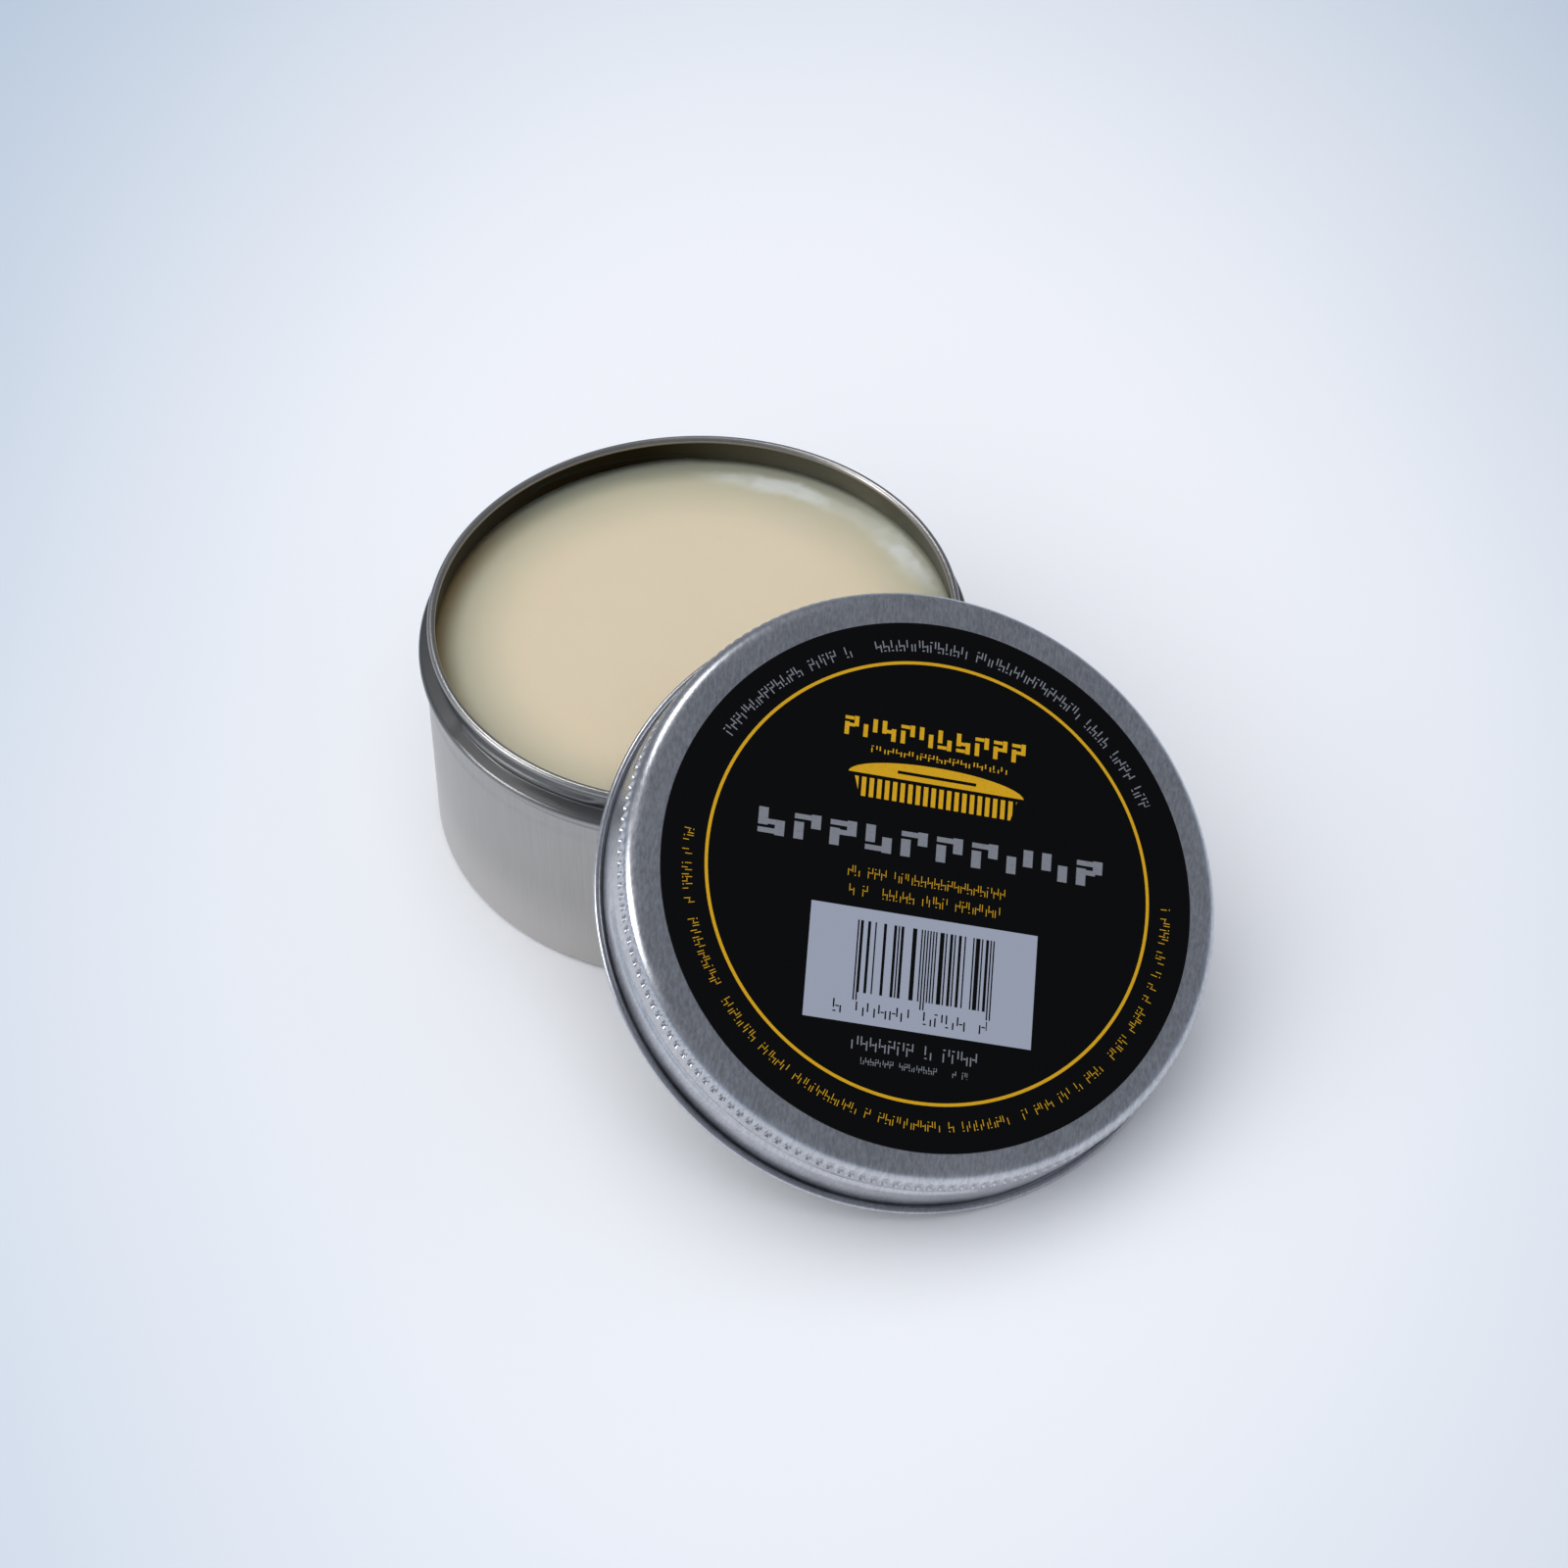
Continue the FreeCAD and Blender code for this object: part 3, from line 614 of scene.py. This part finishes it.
labelSheet = newMaterial("label_print", labelBuild)
edge = label["radius"]
line = rounded([(0, 0), (edge, 0), (edge, label["thickness"], 0.04), (edge - 0.1, label["thickness"])], 3)
line += [(edge - 0.5, label["thickness"]), (edge * 0.5, label["thickness"]), (0, label["thickness"])]
labelDisc = lathe("label", line, label["steps"])
art = labelDisc.data.uv_layers.new(name="art")
cosTurn, sinTurn = math.cos(-labelTurn), math.sin(-labelTurn)
for loop in labelDisc.data.loops:
    spot = labelDisc.data.vertices[loop.vertex_index].co / (label["radius"] * mm)
    across = (spot.x * cosTurn - spot.y * sinTurn, spot.x * sinTurn + spot.y * cosTurn)
    art.data[loop.index].uv = (0.5 + across[0] / 2, 0.5 + across[1] / 2)
labelDisc.data.materials.append(labelSheet)
finishMesh(labelDisc, lidPlace @ Matrix.Translation((0, -label["offset"] * mm, lid["height"] * mm)))
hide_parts("lid_label")
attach(labelDisc, "lid")
print("label made")

# the sealing wad

wad = {"radius": 40.6, "thickness": 1.5, "float": 0.08, "steps": 240, "ring": 38.5, "dent": 0.12,
       "walls": (0.60, 0.60, 0.58), "cells": (0.80, 0.80, 0.78)}


def foamBuild(web):
    spot = web.mapped(lidPlace)
    cells = web.node("ShaderNodeTexVoronoi", {"feature": "DISTANCE_TO_EDGE"},
                     {"Vector": spot, "Scale": 1500.0})
    wide = web.noise(spot, 90, 3.0)
    return {
        "Base Color": web.mix(web.smooth(cells, 0.0, 0.25), wad["walls"], wad["cells"]),
        "Roughness": 0.75 + (wide - 0.5) * 0.2,
        "Subsurface Weight": 0.1,
        "Subsurface Radius": (0.002, 0.002, 0.002),
        "Normal": web.bump(web.smooth(cells, 0.0, 0.3) + wide * 0.5, 0.00008, 0.7),
    }


foam = newMaterial("foam", foamBuild)
low = lid["height"] - lid["sheet"] - wad["float"] - wad["thickness"]
top, pressedIn = low + wad["thickness"], wad["ring"]
line = rounded([  # the rim of the tin has left a shallow ring in it
    (0, low), (pressedIn - 1.2, low, 0.4), (pressedIn - 0.6, low + wad["dent"], 0.3),
    (pressedIn + 0.7, low + wad["dent"], 0.3), (pressedIn + 1.2, low, 0.3),
    (wad["radius"], low, 0.25), (wad["radius"], top, 0.2), (30, top), (0, top)], 3)
sealingWad = lathe("sealing_foam", line, wad["steps"])
sealingWad.data.materials.append(foam)
finishMesh(sealingWad, lidPlace)
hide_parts("sealing_wad")
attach(sealingWad, "wad")
print("wad made")

# floor, lights and camera

# the floor's centre and far colours paint a pool of light round the pieces
studio = {"centre": (0.97, 0.972, 0.98), "far": (0.51, 0.605, 0.705), "world": (0.63, 0.67, 0.76),
          "fadeMiddle": (0.025, 0.015), "fadeDepth": 0.3, "fade": (0.05, 0.22),
          "matt": 0.70, "gloss": 0.36, "half": 3, "level": -0.0001}


def floorBuild(web):
    x, y, z = web.parts(web.mapped())
    # painted light: the floor is brightest round the pieces, a little off centre, and darker further off
    across, deep = x - studio["fadeMiddle"][0], y - studio["fadeMiddle"][1]
    away = (across * across + deep * deep * studio["fadeDepth"]).power(0.5)
    haze = web.noise(web.mapped(), 4.0, 2.0)
    fade = web.smooth(away + (haze - 0.5) * 0.03, *studio["fade"])
    return {"Base Color": web.mix(fade, studio["centre"], studio["far"]),
            "Roughness": 0.7 + (haze - 0.5) * 0.05, "Specular IOR Level": 0.2}


floorMesh = bpy.data.meshes.new("floor")
half, level = studio["half"], studio["level"]
corners = [(-half, -half, level), (half, -half, level), (half, half, level), (-half, half, level)]
floorMesh.from_pydata(corners, [], [(0, 1, 2, 3)])
floor = bpy.data.objects.new("floor", floorMesh)
bpy.context.scene.collection.objects.link(floor)
floorMesh.materials.append(newMaterial("floor", floorBuild))

world = bpy.data.worlds.new("studio")
bpy.context.scene.world = world
world.use_nodes = True
sky = Web(world.node_tree)  # the room is dim in the gloss of the metal, and bright on all that is matt
sky.tree.nodes.clear()
glossRay = sky.node("ShaderNodeLightPath", out=3)
power = studio["matt"] + glossRay * (studio["gloss"] - studio["matt"])
back = sky.node("ShaderNodeBackground", None, {"Color": studio["world"], "Strength": power})
sky.node("ShaderNodeOutputWorld", None, {"Surface": back})

lamps = [  # where it hangs, where it points, width, height, power, lights matt surfaces, shows in gloss
    ((-0.5, -0.2, 1.3), (0, -0.03, 0.02), 2.2, 2.2, 18.0, True, False),
    ((-0.9, -0.18, 0.5), (0, -0.03, 0.02), 0.3, 0.5, 3.8, False, True),
    ((-0.36, 0.43, 0.95), (0.02, 0.02, 0.03), 0.3, 0.2, 2.5, False, True),
]
for place, aim, width, height, power, matt, gloss in lamps:
    lamp = bpy.data.lights.new("softbox", "AREA")
    lamp.shape, lamp.size, lamp.size_y, lamp.energy = "RECTANGLE", width, height, power
    made = bpy.data.objects.new("softbox", lamp)
    made.location = place
    made.rotation_euler = (Vector(aim) - Vector(place)).to_track_quat("-Z", "Y").to_euler()
    made.visible_diffuse, made.visible_glossy = matt, gloss
    bpy.context.scene.collection.objects.link(made)

camera = {"lens": 94.5, "sensor": 36.0, "place": (0.01300, -0.44012, 0.45632), "tilt": 43.98, "roll": -0.63}
lens = bpy.data.cameras.new("camera")
lens.lens, lens.sensor_width = camera["lens"], camera["sensor"]
eye = bpy.data.objects.new("camera", lens)
tilted = Matrix.Rotation(math.radians(camera["tilt"]), 4, "X")
rolled = Matrix.Rotation(math.radians(camera["roll"]), 4, "Z")
eye.matrix_world = Matrix.Translation(camera["place"]) @ tilted @ rolled
lens.clip_start, lens.clip_end = 0.01, 20
bpy.context.scene.collection.objects.link(eye)
bpy.context.scene.camera = eye
bpy.context.scene.view_settings.view_transform = "Standard"
print("studio made")
